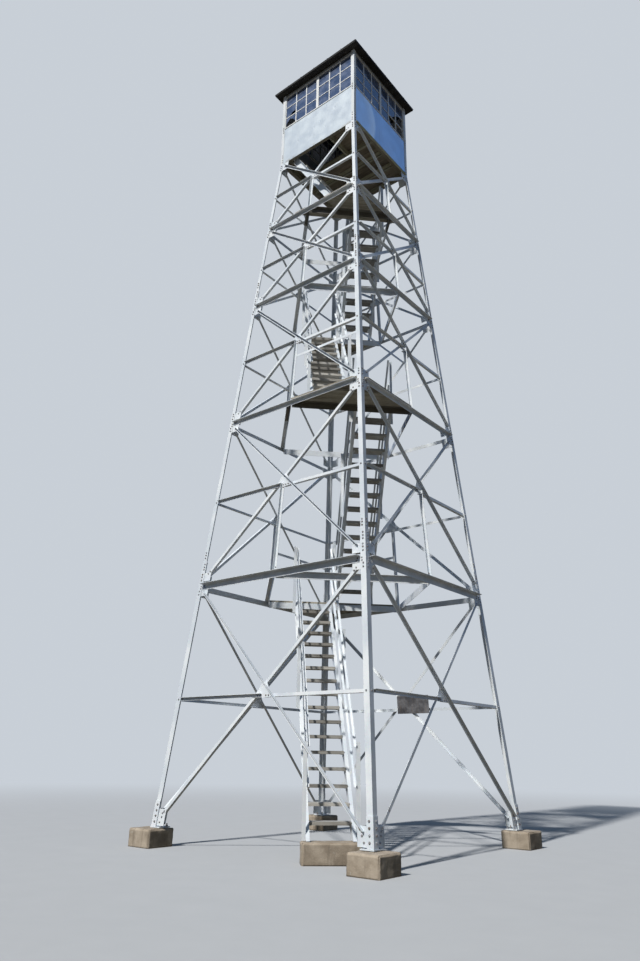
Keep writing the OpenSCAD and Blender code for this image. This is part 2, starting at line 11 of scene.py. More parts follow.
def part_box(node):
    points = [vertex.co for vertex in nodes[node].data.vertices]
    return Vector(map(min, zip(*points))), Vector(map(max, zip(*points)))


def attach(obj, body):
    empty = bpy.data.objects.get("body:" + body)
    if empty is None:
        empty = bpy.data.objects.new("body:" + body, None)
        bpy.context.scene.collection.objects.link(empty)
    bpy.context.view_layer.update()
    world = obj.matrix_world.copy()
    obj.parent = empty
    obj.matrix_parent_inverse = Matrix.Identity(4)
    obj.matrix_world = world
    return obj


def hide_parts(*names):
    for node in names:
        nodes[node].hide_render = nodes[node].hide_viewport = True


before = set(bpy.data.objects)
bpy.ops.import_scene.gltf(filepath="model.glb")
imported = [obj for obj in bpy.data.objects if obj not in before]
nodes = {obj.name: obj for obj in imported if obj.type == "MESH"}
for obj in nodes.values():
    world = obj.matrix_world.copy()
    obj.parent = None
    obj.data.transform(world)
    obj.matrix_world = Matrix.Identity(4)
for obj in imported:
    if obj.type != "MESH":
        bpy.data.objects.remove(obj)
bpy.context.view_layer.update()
scene = bpy.context.scene

# Camera at the photograph's place, in the model's frame
CAMERA_PLACE = Vector((8.230, -10.824, 1.413))
CAMERA_YAW = math.radians(-39.159)
CAMERA_PITCH = math.radians(20.697)
CAMERA_ROLL = math.radians(0.977)
CLIP_END = 300.0
SENSOR = 36.0
FOCAL_PX = 730.69
LONG_SIDE_PX = 961


def make_camera():
    forward = Vector((
        math.cos(CAMERA_PITCH) * math.sin(CAMERA_YAW),
        math.cos(CAMERA_PITCH) * math.cos(CAMERA_YAW),
        math.sin(CAMERA_PITCH),
    ))
    level = Vector((math.cos(CAMERA_YAW), -math.sin(CAMERA_YAW), 0.0))
    upright = level.cross(forward)
    right = math.cos(CAMERA_ROLL) * level + math.sin(CAMERA_ROLL) * upright
    up = -math.sin(CAMERA_ROLL) * level + math.cos(CAMERA_ROLL) * upright
    turn = Matrix((right, up, -forward)).transposed()
    data = bpy.data.cameras.new("camera")
    data.sensor_fit = "AUTO"
    data.sensor_width = SENSOR
    data.lens = FOCAL_PX * SENSOR / LONG_SIDE_PX
    data.clip_end = CLIP_END
    camera = bpy.data.objects.new("camera", data)
    camera.matrix_world = Matrix.Translation(CAMERA_PLACE) @ turn.to_4x4()
    scene.collection.objects.link(camera)
    scene.camera = camera


make_camera()

# Legs, bracing and footings: sizes in metres, as in the part's source
PANELS = 5
LEVELS = (0.0, 4.036, 7.346, 10.107, 12.153, 14.082)
FLOOR_Z = LEVELS[PANELS]
FOOT_HALF = 2.219
CAB_HALF = 1.067
BATTER = math.atan((FOOT_HALF - CAB_HALF) / FLOOR_Z)
LEG_B = (0.102, 0.089, 0.076)
LEG_T = 0.010
JOINT_RISE = 0.450
LEG_JOINTS = (LEVELS[1] + JOINT_RISE, LEVELS[3] + JOINT_RISE)
BRACE_B = 0.051
BRACE_T = 0.005
GIRT_B = 0.070
DEEP_GIRT_B = 0.102
PLATE_T = 0.006
STRUT_DROP = (0.175, 0.175, 0.120, 0.120, 0.120)
NODE_GAP = 0.160
END_GAP = 0.070
PIER_H = 0.300
PIER_W = 0.530
SHOE_T = 0.016
BOOT_T = 0.010
# Gaps between pieces that lie on each other, and between those that stop short of each other
FIT = 0.0003
CLEAR = 0.008

# Stairs: U runs from the axis to the front corner, and V across that line to the right
TREAD_W = 0.615
TREAD_T = 0.050
TREAD_RISE = 0.236
PLANK_T = 0.045
DECK_OUT = 0.040
TOP_LANDING_EXTRA = 0.300
FOOT_U = 2.100
FOOT_SET = 0.110
LEFT_V = -TREAD_W / 2 - 0.118
RIGHT_V = TREAD_W / 2 + 0.105
PAD_D = 0.320
PAD_SIDE = 0.130
PAD_W = TREAD_W + 2 * PAD_SIDE

# Cab: heights of the windows, and depths behind the outer faces of the corner posts
CAB_FOOT = PIER_H + FLOOR_Z
SILL_H = 1.071
SILL_Z = CAB_FOOT + SILL_H
WINDOW_H = 0.960
POST_B = 0.076
POST_T = 0.008
SHEET_T = 0.003
FRAME_IN = POST_T + SHEET_T + 2 * FIT
FRAME_D = 0.040
FRAME_B = 0.045
MULLION_B = 0.070
WINDOW_EDGE = CAB_HALF - FRAME_IN - FRAME_D - FIT - FRAME_B
OPENINGS = ((-WINDOW_EDGE, -MULLION_B / 2), (MULLION_B / 2, WINDOW_EDGE))
EAVE_REACH = 0.150
EAVE = CAB_HALF + EAVE_REACH
ROOF_T = 0.012
ROOF_PITCH = math.radians(27)

# Directions in the model's frame
TO_RIGHT = (1.0, 0.0, 0.0)
TO_BACK = (0.0, 1.0, 0.0)
UPWARD = (0.0, 0.0, 1.0)
STAIR_ALONG = (0.7071, -0.7071, 0.0)
STAIR_ACROSS = (0.7071, 0.7071, 0.0)


def half_at(z):
    """Half the width across the legs at a height above their feet."""
    return FOOT_HALF - (FOOT_HALF - CAB_HALF) * z / FLOOR_Z


def leg_size(z):
    """Width of the legs' flanges, which are narrower above each bolted joint."""
    return LEG_B[sum(z >= joint for joint in LEG_JOINTS)]


def crossing(i):
    """Height at which the diagonals of a panel cross."""
    low, high = half_at(LEVELS[i]), half_at(LEVELS[i + 1])
    return LEVELS[i] + (LEVELS[i + 1] - LEVELS[i]) * low / (low + high)


def strut_z(i):
    return crossing(i) - STRUT_DROP[i]


def quarter(k):
    """Turn from the front to side k: 1 is the right, 2 the back and 3 the left."""
    return Matrix.Rotation(math.pi / 2 * k, 4, "Z")


def side_frame(k):
    """Axes of a leaning side of the tower: across, up the slope and outward."""
    across = quarter(k) @ Vector((1, 0, 0))
    slope = quarter(k) @ Vector((0, math.sin(BATTER), math.cos(BATTER)))
    outward = quarter(k) @ Vector((0, -math.cos(BATTER), math.sin(BATTER)))
    return across, slope, outward


def side_point(k, across, z, depth):
    """Point on a side of the tower: distance across, height above the feet, distance outward."""
    place = quarter(k) @ Vector((across, -half_at(z), PIER_H + z))
    return place + depth * side_frame(k)[2]


def wall_axes(k):
    """Axes of a cab wall: across, up and outward."""
    return quarter(k) @ Vector((1, 0, 0)), quarter(k) @ Vector((0, 0, 1)), quarter(k) @ Vector((0, -1, 0))


def wall_point(k, across, z, depth):
    """Point of a cab wall: distance across, height over the ground, depth behind the posts' faces."""
    return quarter(k) @ Vector((across, -CAB_HALF + depth, z))


# Materials


def plug(tree, socket, value):
    """Links a socket to another node's output, or gives it a value; a colour is opaque."""
    if isinstance(value, bpy.types.NodeSocket):
        tree.links.new(value, socket)
    elif socket.type == "RGBA":
        socket.default_value = (*value, 1.0)
    else:
        socket.default_value = value


def mix_shaders(tree, amount, first, second):
    """Shader that goes from the first at amount 0 to the second at 1."""
    node = tree.nodes.new("ShaderNodeMixShader")
    for socket, value in zip(node.inputs, (amount, first, second)):
        plug(tree, socket, value)
    return node.outputs[0]


class Look:
    """A procedural material on the model's own coordinates, in metres."""

    def __init__(self, name, roughness=0.6, metallic=0.0, **constants):
        self.material = bpy.data.materials.new(name)
        self.material.use_nodes = True
        self.tree = self.material.node_tree
        self.shader = self.tree.nodes["Principled BSDF"]
        self.metallic = metallic
        self.put("Roughness", roughness)
        self.put("Metallic", metallic)
        for socket, value in constants.items():
            self.put(socket.replace("_", " "), value)
        self.place = self.add("ShaderNodeTexCoord").outputs["Object"]
        self.colour = None
        self.relief = None

    def put(self, socket, value):
        plug(self.tree, self.shader.inputs[socket], value)

    def add(self, kind, **settings):
        node = self.tree.nodes.new(kind)
        for key, value in settings.items():
            setattr(node, key, value)
        return node

    def feed(self, node, **inputs):
        """Fills a node's inputs, each given by its name, or by its number after an underscore."""
        for key, value in inputs.items():
            socket = node.inputs[int(key[1:])] if key[0] == "_" else node.inputs[key]
            plug(self.tree, socket, value)
        return node

    def math(self, operation, a, b=0.0):
        return self.feed(self.add("ShaderNodeMath", operation=operation), _0=a, _1=b).outputs[0]

    def plus(self, a, b):
        return self.math("ADD", a, b)

    def minus(self, a, b):
        return self.math("SUBTRACT", a, b)

    def times(self, a, b):
        return self.math("MULTIPLY", a, b)

    def vector_math(self, operation, vector, other=(0.0, 0.0, 0.0)):
        """Dot product, distance or length, as a number."""
        node = self.add("ShaderNodeVectorMath", operation=operation)
        return self.feed(node, _0=vector, _1=other).outputs["Value"]

    def along(self, direction):
        """Distance from the origin in a direction."""
        return self.vector_math("DOT_PRODUCT", self.place, direction)

    def combine(self, x, y, z):
        return self.feed(self.add("ShaderNodeCombineXYZ"), _0=x, _1=y, _2=z).outputs[0]

    def stretch(self, scale):
        return self.feed(self.add("ShaderNodeMapping"), Vector=self.place, Scale=scale).outputs[0]

    def noise(self, scale, vector=None, detail=5.0, roughness=0.55, distortion=0.0):
        node = self.add("ShaderNodeTexNoise")
        self.feed(node, Vector=vector or self.place, Scale=scale, Detail=detail,
                  Roughness=roughness, Distortion=distortion)
        return node.outputs["Fac"]

    def cells(self, scale, output="Distance"):
        node = self.feed(self.add("ShaderNodeTexVoronoi"), Vector=self.place, Scale=scale)
        return node.outputs[output]

    def chance(self, value):
        """A fixed random number for each value."""
        node = self.add("ShaderNodeTexWhiteNoise", noise_dimensions="1D")
        return self.feed(node, W=value).outputs["Value"]

    def ramp(self, value, low, high, start=0.0, end=1.0):
        """Smooth step: the start up to the low value, and the end from the high value on."""
        node = self.add("ShaderNodeMapRange", interpolation_type="SMOOTHSTEP")
        return self.feed(node, _0=value, _1=low, _2=high, _3=start, _4=end).outputs[0]

    def mix(self, amount, a, b, blend="MIX"):
        node = self.add("ShaderNodeMix", data_type="RGBA", blend_type=blend)
        return self.feed(node, _0=amount, _6=a, _7=b).outputs[2]

    def tones(self, pattern, low, high, first, second):
        """One colour where a pattern is low and another where it is high."""
        return self.mix(self.ramp(pattern, low, high), first, second)

    def stain(self, tone, colour, pattern, low, high, most):
        """Lays a colour over a tone: none where a pattern is low, and the most where it is high."""
        return self.mix(self.ramp(pattern, low, high, 0.0, most), tone, colour)

    def paint(self, colour):
        self.colour = colour
        self.put("Base Color", colour)

    def bump(self, height, distance):
        """Adds relief to the relief so far."""
        node = self.feed(self.add("ShaderNodeBump"), Height=height, Distance=distance, Strength=1.0)
        if self.relief is not None:
            plug(self.tree, node.inputs["Normal"], self.relief)
        self.relief = node.outputs[0]
        self.put("Normal", self.relief)


def scaled(colour, factor):
    return tuple(factor * part for part in colour)


def galvanised(name, light=(0.74, 0.77, 0.79), dull=(0.565, 0.615, 0.665), rust_level=0.70):
    """Hot-dip zinc: dull and bright patches, spangle, streaks and small rust stains."""
    look = Look(name, metallic=0.05, Specular_IOR_Level=0.3)
    patches = look.noise(1.4, detail=6, roughness=0.6)
    tone = look.tones(patches, 0.36, 0.64, light, dull)
    spangle = look.cells(70.0, output="Color")
    tone = look.mix(0.10, tone, spangle, "SOFT_LIGHT")
    streaks = look.noise(1.0, look.stretch((38.0, 38.0, 1.1)), detail=3)
    tone = look.stain(tone, (0.42, 0.44, 0.45), streaks, 0.58, 0.80, 0.28)
    stains = look.noise(3.2, detail=8, roughness=0.7, distortion=0.6)
    rust = look.mix(look.noise(45.0, detail=3), (0.22, 0.10, 0.05), (0.40, 0.22, 0.12))
    tone = look.stain(tone, rust, stains, rust_level, rust_level + 0.07, 0.75)
    look.paint(tone)
    look.put("Roughness", look.ramp(patches, 0.3, 0.7, 0.42, 0.62))
    look.bump(look.noise(150.0, detail=2), 0.00012)
    look.bump(look.noise(9.0, detail=1), 0.0006)
    return look


def brown_front_ties():
    """Zinc, dark brown on the front ties of levels 2 and 4, under the landings."""
    look = galvanised("brown_front_ties")
    mottle = look.noise(7.0, look.stretch((1.0, 1.0, 6.0)), detail=6)
    brown = look.mix(mottle, (0.055, 0.045, 0.030), (0.13, 0.115, 0.080))
    z = look.along(UPWARD)
    at_level = 0.0
    for level in (LEVELS[2], LEVELS[4]):
        away = look.math("ABSOLUTE", look.minus(z, PIER_H + level - 0.05))
        at_level = look.plus(at_level, look.math("LESS_THAN", away, 0.12))
    in_front = look.math("GREATER_THAN", look.along(STAIR_ALONG), 0.3)
    amount = look.times(look.times(in_front, at_level), 0.93)
    look.paint(look.mix(amount, look.colour, brown))
    return look


def timber(name, along, across, width, dark, light, top, worn=0.5):
    """Weathered boards: grain, checks, a tone for each board, paler on top and in worn patches."""
    look = Look(name, roughness=0.85, Specular_IOR_Level=0.25)
    a, c, z = look.along(along), look.along(across), look.along(UPWARD)

    def fibres(lengthwise, crosswise, shift=0.0):
        """Coordinates that draw a pattern out along the grain."""
        run = look.plus(look.times(a, lengthwise), shift)
        return look.combine(run, look.times(c, crosswise), look.times(z, crosswise))

    # What lies in one board's width and one band of height shares a random number
    board = look.math("FLOOR", look.math("DIVIDE", c, width))
    level = look.math("FLOOR", look.times(z, 4.3))
    own = look.chance(look.plus(board, look.times(level, 7.3)))
    run = fibres(2.2, 55.0, look.times(own, 40.0))
    grain = look.noise(1.0, run, detail=7, roughness=0.62, distortion=0.7)
    tone = look.tones(grain, 0.30, 0.70, dark, light)
    normal = look.add("ShaderNodeNewGeometry").outputs["Normal"]
    on_top = look.ramp(look.vector_math("DOT_PRODUCT", normal, UPWARD), 0.2, 0.8)
    tone = look.mix(on_top, tone, look.tones(grain, 0.35, 0.65, scaled(top, 0.72), top))
    tone = look.mix(look.ramp(own, 0.0, 1.0, 0.0, 0.55), tone, (0.035, 0.030, 0.024), "MULTIPLY")
    tone = look.stain(tone, top, look.noise(3.0, detail=5), 0.50, 0.72, worn)
    crack = look.ramp(look.noise(1.0, fibres(1.2, 130.0), detail=4), 0.62, 0.70)
    look.paint(look.mix(look.times(crack, 0.7), tone, (0.012, 0.010, 0.008)))
    look.bump(grain, 0.0022)
    look.bump(look.minus(1.0, crack), 0.002)
    return look


def rough_concrete():
    """Weathered concrete: stones that show, drips and lichen."""
    look = Look("rough_concrete", roughness=0.93, Specular_IOR_Level=0.2)
    patches = look.noise(2.6, detail=8, roughness=0.65)
    tone = look.tones(patches, 0.35, 0.65, (0.26, 0.215, 0.165), (0.42, 0.36, 0.29))
    stones = look.cells(60.0)
    tone = look.mix(look.ramp(stones, 0.10, 0.35, 0.35, 0.0), tone, (0.23, 0.21, 0.19))
    drips = look.noise(1.0, look.stretch((14.0, 14.0, 1.6)), detail=4)
    tone = look.stain(tone, (0.17, 0.14, 0.11), drips, 0.52, 0.75, 0.6)
    lichen = look.noise(9.0, detail=6, roughness=0.7)
    look.paint(look.stain(tone, (0.46, 0.46, 0.41), lichen, 0.62, 0.70, 0.7))
    look.bump(look.noise(55.0, detail=6, roughness=0.7), 0.006)
    look.bump(look.ramp(stones, 0.0, 0.3), 0.002)
    return look


def bare_board():
    """Dark sheet with brownish streaks."""
    look = Look("bare_board", roughness=0.75, metallic=0.1)
    patches = look.noise(5.0, detail=7, roughness=0.65)
    tone = look.tones(patches, 0.35, 0.65, (0.055, 0.055, 0.06), (0.17, 0.17, 0.18))
    streaks = look.noise(1.0, look.stretch((30.0, 30.0, 2.0)), detail=4)
    look.paint(look.stain(tone, (0.16, 0.12, 0.09), streaks, 0.5, 0.75, 0.6))
    look.bump(look.noise(14.0, detail=4), 0.003)
    return look


# Dents in the front wall: distance across, height over the ground and reach
DENTS = (
    (-0.07, 14.91, 0.035), (0.10, 14.98, 0.025), (0.25, 14.73, 0.03),
    (0.52, 15.12, 0.04), (0.27, 15.34, 0.03), (-0.55, 14.80, 0.03),
)


def cab_sheet(name, light, dull, dents=(), patch=None, metallic=0.15):
    """Flat zinc sheet: cloudy tones, drips from the sill, dirt at the foot, dents with painted shade in
    their middles.
    """
    look = Look(name, metallic=metallic)
    patches = look.noise(1.1, detail=6, roughness=0.6, distortion=0.4)
    tone = look.tones(patches, 0.35, 0.66, light, dull)
    clouds = look.noise(4.5, detail=4)
    tone = look.stain(tone, scaled(light, 1.15), clouds, 0.45, 0.75, 0.22)
    drips = look.noise(1.0, look.stretch((22.0, 22.0, 0.9)), detail=4)
    tone = look.stain(tone, scaled(dull, 0.72), drips, 0.56, 0.80, 0.35)
    if patch:
        tone = patch(look, tone)
    low = look.ramp(look.along(UPWARD), CAB_FOOT + 0.005, CAB_FOOT + 0.09, 1.0, 0.0)
    dirt = look.times(low, look.ramp(look.noise(9.0, detail=5), 0.40, 0.62))
    tone = look.mix(look.times(dirt, 0.6), tone, (0.30, 0.27, 0.20))
    look.put("Roughness", look.ramp(clouds, 0.3, 0.7, 0.36, 0.55))
    look.bump(look.noise(1.6, detail=1), 0.006)
    look.bump(look.noise(26.0, detail=3), 0.0009)
    for x, z, reach in dents:
        away = look.vector_math("DISTANCE", look.place, (x, -CAB_HALF + POST_T, z))
        look.bump(look.ramp(away, 0.0, reach, 1.0, 0.0), -0.0025)
        # Painted shade in the middle of each dent
        dent_shade = look.ramp(away, 0.0, 0.5 * reach, 1.0, 0.0)
        tone = look.mix(look.times(dent_shade, 0.55), tone, (0.30, 0.32, 0.33))
    look.paint(tone)
    return look


# Bowed line on the right wall: its middle and its distance from there, in which heights count less
ARC_Y = -0.98
ARC_Z = 14.83
ARC_RIM = (0.70, 0.78)
ARC_HEIGHT_WEIGHT = 0.72
# Metallic of the sheet along the bowed line, part of the painted light
PATCH_METALLIC = 0.52


def painted_light_patch(look, tone):
    """Painted light: a paler part of the right wall, by the front corner, inside a bowed line."""
    dy = look.minus(look.along(TO_BACK), ARC_Y)
    dz = look.minus(look.along(UPWARD), ARC_Z)
    squares = look.plus(look.times(dy, dy), look.times(look.times(dz, dz), ARC_HEIGHT_WEIGHT))
    wobble = look.times(look.minus(look.noise(3.0), 0.5), 0.05)
    away = look.plus(look.math("SQRT", squares), wobble)
    inside = look.ramp(away, *ARC_RIM, 1.0, 0.0)
    # Painted light, strongest along the line, where the sheet is also less metallic and so reflects less
    # of the sky
    patch_light = look.times(inside, look.ramp(away, 0.40, 0.74, 0.35, 1.0))
    look.put("Metallic", look.ramp(patch_light, 0.0, 1.0, look.metallic, PATCH_METALLIC))
    return look.mix(look.times(patch_light, 0.9), tone, (0.92, 0.93, 0.88))


def window_paint():
    """Worn white paint, bare in spots, with a painted shadow of the eave across the windows' heads."""
    look = Look("window_paint", roughness=0.5)
    worn = look.noise(14.0, detail=6, roughness=0.65)
    tone = look.tones(worn, 0.35, 0.65, (0.80, 0.81, 0.80), (0.70, 0.715, 0.715))
    bare = look.noise(30.0, detail=5, roughness=0.7)
    tone = look.stain(tone, (0.27, 0.24, 0.20), bare, 0.66, 0.71, 0.8)
    head = SILL_Z + WINDOW_H
    # Painted shadow of the eave: dark grey from just under the windows' heads upward
    look.paint(look.stain(tone, (0.16, 0.16, 0.15), look.along(UPWARD), head - 0.01, head + 0.02, 0.8))
    look.bump(look.noise(120.0, detail=3), 0.0006)
    return look


def old_glass():
    """Dusty, slightly uneven glass that lets a little through, in dark blues that are painted reflection
    of the sky and painted shade from the cab's dark inside.
    """
    look = Look("old_glass", IOR=1.5, Alpha=0.86)
    dirt = look.noise(6.0, detail=6, roughness=0.6)
    # The dark blues are painted reflection of the sky and painted shade from the cab's dark inside
    look.paint(look.tones(dirt, 0.35, 0.7, (0.06, 0.09, 0.17), (0.16, 0.195, 0.29)))
    look.put("Roughness", look.ramp(dirt, 0.4, 0.7, 0.05, 0.22))
    look.bump(look.noise(5.0, detail=1), 0.0012)
    return look


def roof_sheet():
    """Dark roofing with a little moss."""
    look = Look("roof_sheet", roughness=0.8, metallic=0.1)
    patches = look.noise(2.0, detail=7, roughness=0.62)
    tone = look.tones(patches, 0.35, 0.65, (0.045, 0.048, 0.050), (0.10, 0.10, 0.098))
    moss = look.noise(7.0, detail=6, roughness=0.68)
    look.paint(look.stain(tone, (0.10, 0.11, 0.065), moss, 0.58, 0.72, 0.6))
    look.bump(look.noise(60.0, detail=4), 0.0015)
    return look


def bolt_steel():
    look = Look("bolt_steel", roughness=0.55, metallic=0.3)
    worn = look.noise(12.0, detail=4)
    look.paint(look.tones(worn, 0.40, 0.62, (0.36, 0.37, 0.38), (0.17, 0.13, 0.10)))
    look.bump(look.noise(300.0, detail=2), 0.0004)
    return look


STEEL = galvanised("galvanised")
BOLT = bolt_steel()
PAINT = window_paint()
GLASS = old_glass()
ROOF = roof_sheet()
CONCRETE = rough_concrete()
PLAIN_SHEET = cab_sheet("cab_sheet", (0.56, 0.61, 0.65), (0.47, 0.53, 0.58))
DECK = timber("deck_timber", STAIR_ACROSS, STAIR_ALONG, 0.19,
              (0.22, 0.20, 0.155), (0.43, 0.395, 0.32), (0.50, 0.48, 0.43))
TREAD = timber("tread_timber", STAIR_ACROSS, STAIR_ALONG, 0.35,
               (0.345, 0.325, 0.29), (0.555, 0.54, 0.50), (0.59, 0.585, 0.565), worn=0.4)
CAB_TIMBER = timber("cab_timber", TO_RIGHT, TO_BACK, 0.14,
                    (0.15, 0.125, 0.09), (0.29, 0.245, 0.18), (0.32, 0.29, 0.24), worn=0.25)
JOIST_TIMBER = timber("joist_timber", TO_RIGHT, TO_BACK, 0.11,
                      (0.32, 0.31, 0.225), (0.56, 0.55, 0.42), (0.46, 0.45, 0.36), worn=0.2)
OLIVE_TIMBER = timber("olive_timber", TO_BACK, TO_RIGHT, 0.5,
                      (0.30, 0.30, 0.20), (0.50, 0.50, 0.34), (0.55, 0.55, 0.40), worn=0.3)
ROOF_TIMBER = timber("roof_timber", TO_RIGHT, TO_BACK, 0.12,
                     (0.030, 0.030, 0.030), (0.060, 0.058, 0.055), (0.10, 0.095, 0.085), worn=0.2)
LOOKS = {
    "footings": CONCRETE,
    "right_braces": galvanised("galvanised_stained", rust_level=0.63),
    "plan_ties": brown_front_ties(),
    "blank_board": bare_board(),
    # The girts under the cab's floor in dark brown
    "girts_level_5": galvanised("dark_cab_girt", (0.20, 0.185, 0.14), (0.13, 0.115, 0.085)),
    "floor_frame": JOIST_TIMBER,
    "floor_deck": CAB_TIMBER,
    "front_wall": cab_sheet("front_sheet", (0.575, 0.635, 0.665), (0.515, 0.57, 0.61), dents=DENTS),
    # Darker and more metallic than the front wall's sheet: painted shade for the wall that lies in shade
    "right_wall": cab_sheet("shaded_right_sheet", (0.50, 0.545, 0.58), (0.44, 0.49, 0.53),
                            patch=painted_light_patch, metallic=0.8),
    "back_wall": PLAIN_SHEET,
    "left_wall": PLAIN_SHEET,
    "corner_posts": galvanised("corner_zinc", (0.76, 0.775, 0.785), (0.62, 0.66, 0.68)),
    "window_frames": PAINT,
    "window_glass": GLASS,
    "roof_frame": ROOF_TIMBER,
    "roof": ROOF,
}
for level in range(1, PANELS):
    LOOKS[f"landing_{level}"] = DECK
for level in range(1, PANELS + 1):
    LOOKS[f"treads_flight_{level}"] = TREAD
for name, node in nodes.items():
    node.data.materials.clear()
    node.data.materials.append(LOOKS.get(name, STEEL).material)


# Pieces


def place_piece(name, mesh, look, smooth=False):
    """Links a piece whose vertices are already in the model's frame."""
    mesh.materials.append(look.material)
    if smooth:
        mesh.shade_smooth()
    else:
        mesh.shade_flat()
    piece = bpy.data.objects.new(name, mesh)
    scene.collection.objects.link(piece)
    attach(piece, "root")
    return piece


def polygon(sides, radius, turn):
    angles = [turn + 2 * math.pi * n / sides for n in range(sides)]
    return [(radius * math.cos(angle), radius * math.sin(angle)) for angle in angles]


BOX_FACES = ((0, 2, 3, 1), (4, 5, 7, 6), (0, 1, 5, 4), (2, 6, 7, 3), (0, 4, 6, 2), (1, 3, 7, 5))


class Shape:
    """Gathers closed solids in one mesh."""

    def __init__(self):
        self.points, self.faces = [], []

    def box(self, corner, size, axes):
        """Box from a corner along three axes; a size below zero goes backwards."""
        x, y, z = (length * axis for length, axis in zip(size, axes))
        first = len(self.points)
        for c in (0, 1):
            for b in (0, 1):
                for a in (0, 1):
                    self.points.append(corner + a * x + b * y + c * z)
        for face in BOX_FACES:
            self.faces.append([first + v for v in face])

    def rings(self, place, axes, rings):
        """Solid through rings: each an outline in the first two axes, at a height along the third."""
        x, y, z = axes
        first = len(self.points)
        count = len(rings[0][0])
        for outline, height in rings:
            for a, b in outline:
                self.points.append(place + a * x + b * y + height * z)
        for r in range(len(rings) - 1):
            for v in range(count):
                n = (v + 1) % count
                low, high = first + r * count, first + (r + 1) * count
                self.faces.append([low + v, low + n, high + n, high + v])
        self.faces.append([first + v for v in reversed(range(count))])
        self.faces.append([first + (len(rings) - 1) * count + v for v in range(count)])

    def bar(self, outline, place, axes, length):
        """Bar or plate of one outline, drawn out along the third axis."""
        self.rings(place, axes, [(outline, 0.0), (outline, length)])

    def turned(self, sides, rings, place, axes, turn=0.0):
        """Solid through regular polygons, each given by its radius and its height."""
        self.rings(place, axes, [(polygon(sides, radius, turn), height) for radius, height in rings])

    def piece(self, name, look, slot):
        mesh = bpy.data.meshes.new(name)
        mesh.from_pydata(self.points, [], self.faces)
        work = bmesh.new()
        work.from_mesh(mesh)
        bmesh.ops.recalc_face_normals(work, faces=work.faces)
        work.to_mesh(mesh)
        work.free()
        return place_piece(name, mesh, look)


# Bolt head of size 1, and how far small pieces sink into what they sit on
SINK = 0.0005
WASHER_R = 0.016
WASHER_T = 0.0025
HEX_R = 0.0138
HEX_EDGE_H = 0.0100
HEX_TOP_H = 0.0125
HEX_TOP_PART = 0.80
# Distances outward of the faces that bolts sit on
ON_LEG = 0.0
ON_CLASP = BOOT_T + FIT
ON_PLATE = -LEG_T
ON_BRACE = ON_PLATE + BRACE_T
ON_GIRT = ON_PLATE + PLATE_T
# Rises of bolts over the girt, the joint, the cab's floor or the foot that they belong to
GIRT_ROW = (-0.180, -0.120, 0.085, 0.145, 0.195)
GIRT_EDGE_ROW = (-0.075, -0.030)
JOINT_ROW = (-0.165, -0.115, -0.060, 0.060, 0.115, 0.165)
TOP_ROW = (-0.180, -0.120, -0.060)
CLASP_ROW = (0.075, 0.160, 0.245, 0.330)
# Distance of the foot's bolts from the leg's heel: on the clasp, and with the height on the gusset
CLASP_REACH = 0.055
GUSSET_BOLTS = ((0.070, 0.160), (0.150, 0.190), (0.225, 0.220))
# Distances of bolts from the end of a diagonal, from the middle of a strut and from the leg beside it
DIAGONAL_STEPS = (0.022, 0.062)
STRUT_STEPS = (0.055, 0.110)
STRUT_LEG_STEP = 0.035
# Sizes of bolts, where most of those on the legs are 1
CLASP_SIZE = 1.15
SMALL_SIZE = 0.9
STRUT_SIZE = 0.85
POST_SIZE = 0.8
# Distance of the bolts on the cab's posts from the posts' heels, and their heights
POST_BOLT_IN = 0.048
POST_BOLTS = (14.43, 14.49, 14.57, 14.63, 15.33, 15.38, 15.43, 15.48, 16.35, 16.42)
# Turns of the bolt heads, the same in each run
chance = random.Random(7)


def bolt(shape, place, axes, size):
    """Washer and chamfered hexagon head on a face, standing along the third axis."""
    washer, head = WASHER_R * size, HEX_R * size
    turn = chance.uniform(0, 1)
    shape.turned(10, ((washer, -SINK), (washer, WASHER_T * size)), place, axes)
    rings = ((head, 0.0), (head, HEX_EDGE_H * size), (HEX_TOP_PART * head, HEX_TOP_H * size))
    shape.turned(6, rings, place, axes, turn)


def side_bolt(shape, k, across, z, depth, size=1.0):
    bolt(shape, side_point(k, across, z, depth), side_frame(k), size)


def leg_bolt(shape, k, hand, z, part=0.5, size=1.0):
    """Bolt on a leg's flange, at a part of the flange's width from the leg's heel."""
    side_bolt(shape, k, hand * (half_at(z) - part * leg_size(z)), z, ON_LEG, size)


def leg_bolts(shape, k, hand):
    """Bolts up one flange of a leg: at the girts, the cab, the joints and the struts."""
    for level in LEVELS[1:PANELS]:
        for rise in GIRT_ROW:
            leg_bolt(shape, k, hand, level + rise)
        for rise in GIRT_EDGE_ROW:
            leg_bolt(shape, k, hand, level + rise, 0.75, SMALL_SIZE)
    for rise in TOP_ROW:
        leg_bolt(shape, k, hand, FLOOR_Z + rise)
    for joint in LEG_JOINTS:
        for rise in JOINT_ROW:
            leg_bolt(shape, k, hand, joint + rise, 0.62 if rise * hand > 0 else 0.45)
    for i in range(PANELS):
        leg_bolt(shape, k, hand, strut_z(i), 0.55)


def foot_bolts(shape, k, hand):
    """Bolts on the angle that clasps a leg's foot, and on the gusset beside it."""
    for z in CLASP_ROW:
        side_bolt(shape, k, hand * (half_at(z) - CLASP_REACH), z, ON_CLASP, CLASP_SIZE)
    for z, reach in GUSSET_BOLTS:
        side_bolt(shape, k, hand * (half_at(z) - reach), z, ON_PLATE)


def diagonal_bolts(shape, k, hand):
    """Two bolts at each end of the diagonals, beside one leg."""
    for i in range(PANELS):
        low, high = LEVELS[i], LEVELS[i + 1]
        climb = (high - low) / (half_at(low) + half_at(high))
        for level, sign in ((low, 1), (high, -1)):
            # The inner diagonal rises to the right, seen from outside: left foot and right head
            inner = (sign > 0) == (hand < 0)
            end_z = level + sign * NODE_GAP
            end = half_at(end_z) - leg_size(end_z) - END_GAP
            for step in DIAGONAL_STEPS:
                z = crossing(i) - sign * climb * (end - step)
                depth = ON_PLATE if inner else ON_BRACE
                side_bolt(shape, k, hand * (end - step), z, depth, SMALL_SIZE)


